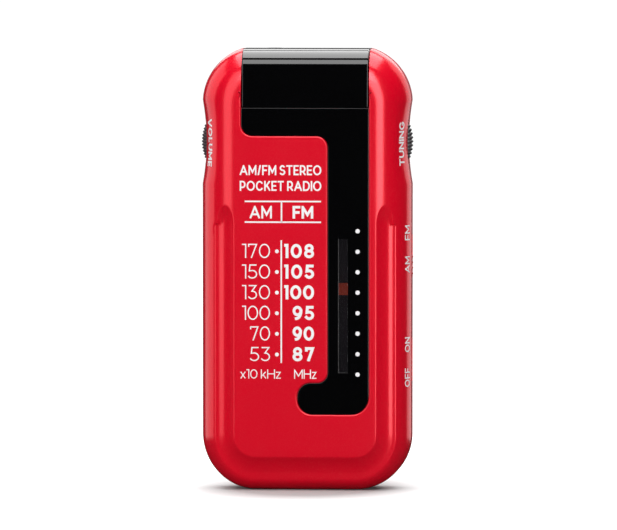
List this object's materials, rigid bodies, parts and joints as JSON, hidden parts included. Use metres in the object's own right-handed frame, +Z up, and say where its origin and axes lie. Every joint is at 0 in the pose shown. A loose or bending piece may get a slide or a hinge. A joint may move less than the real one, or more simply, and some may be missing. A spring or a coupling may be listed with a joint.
{
  "type": "transistor pocket radio",
  "caption": "Pocket headphone radio: pearl red case, black dial window and top cap, thumbwheels at the shoulders, slide switches, cord-driven pointer, sliding battery door and belt clip.",
  "frame": {"origin": "on the flat base, under the parting plane of the case, midway between the flanks", "axes": "+Z up, the dial faces -Y, +X is to the right of a person who looks at the dial"},
  "size_m": [0.0552, 0.028, 0.115],
  "materials": {
    "red_case": "pearl metallic lacquer, satin gloss",
    "red_knob": "satin red",
    "black_gloss": "polished black",
    "smoked_strip": "smoked clear acrylic",
    "chassis_steel": "matt black",
    "steel": "plated steel",
    "pointer_red": "bright red-orange",
    "cord": "waxed braided cord",
    "ivory_nylon": "moulded nylon",
    "wheel_black": "semi-gloss black",
    "brass": "turned brass",
    "resin_board": "phenolic resin board",
    "matte_black": "fine matt grain",
    "can_metal": "drawn screening can",
    "sleeve_blue": "shrunk sleeve",
    "ferrite": "sintered ferrite",
    "copper_wire": "enamelled copper",
    "cell_sleeve": "plain printed cell sleeve"
  },
  "bodies": {
    "body": {"front_shell": "red_case", "back_shell": "red_case", "front_cap": "black_gloss", "rear_cap": "black_gloss", "dial_window": "black_gloss", "window_strip": "smoked_strip", "dial_chassis": "chassis_steel", "pointer_rail": "steel", "dial_cord": "cord", "idler_pin": "steel", "tuning_capacitor": "ivory_nylon", "volume_control": "resin_board", "band_switch": "steel", "power_switch": "steel", "circuit_board": "resin_board", "board_screws": "steel", "radio_chip": "matte_black", "if_transformers": "can_metal", "board_capacitors": "sleeve_blue", "ferrite_rod": "ferrite", "antenna_coil": "copper_wire", "rod_holders": "ivory_nylon", "headphone_jack": "matte_black", "battery_cells": "cell_sleeve", "battery_springs": "steel", "battery_contacts": "steel", "clip_pin": "steel", "clip_spring": "steel", "case_screws": "steel"},
    "tuning": {"tuning_wheel": "wheel_black", "tuning_spindle": "brass", "tuning_screw": "steel", "cord_spring": "steel"},
    "pointer": {"dial_pointer": "pointer_red"},
    "idler": {"cord_idler": "ivory_nylon"},
    "volume": {"volume_wheel": "wheel_black", "volume_spindle": "brass", "volume_screw": "steel"},
    "band": {"band_knob": "red_knob"},
    "power": {"power_knob": "red_knob"},
    "door": {"battery_door": "red_case"},
    "clip": {"belt_clip": "matte_black"}
  },
  "joints": [
    {"name": "tuning_turn", "type": "hinge", "parent": "body", "child": "tuning", "pos_m": [0.0156, 0, 0.0908], "axis": [0, 1, 0], "range_deg": [-113, 66.5]},
    {"name": "pointer_slide", "type": "slide", "parent": "body", "child": "pointer", "axis": [0, 0, 1], "range_m": [-0.017, 0.01]},
    {"name": "idler_turn", "type": "hinge", "parent": "body", "child": "idler", "pos_m": [0.009, 0, 0.0235], "axis": [0, 1, 0], "range_deg": [-490, 290]},
    {"name": "volume_turn", "type": "hinge", "parent": "body", "child": "volume", "pos_m": [-0.0156, 0, 0.0908], "axis": [0, 1, 0], "range_deg": [-135, 135]},
    {"name": "band_slide", "type": "slide", "parent": "body", "child": "band", "axis": [0, 0, 1], "range_m": [0, 0.005]},
    {"name": "power_slide", "type": "slide", "parent": "body", "child": "power", "axis": [0, 0, 1], "range_m": [0, 0.005]},
    {"name": "door_slide", "type": "slide", "parent": "body", "child": "door", "axis": [0, 0, -1], "range_m": [0, 0.045]},
    {"name": "clip_swing", "type": "hinge", "parent": "body", "child": "clip", "pos_m": [0, 0.0134, 0.094], "axis": [1, 0, 0], "range_deg": [0, 18], "stiffness_Nm_per_rad": 0.03, "springref_deg": -22.92}
  ],
  "couplings": [
    {"joint": "pointer_slide", "follows": "tuning_turn", "m_per_rad": 0.0086},
    {"joint": "idler_turn", "follows": "tuning_turn", "ratio": 4.3}
  ]
}
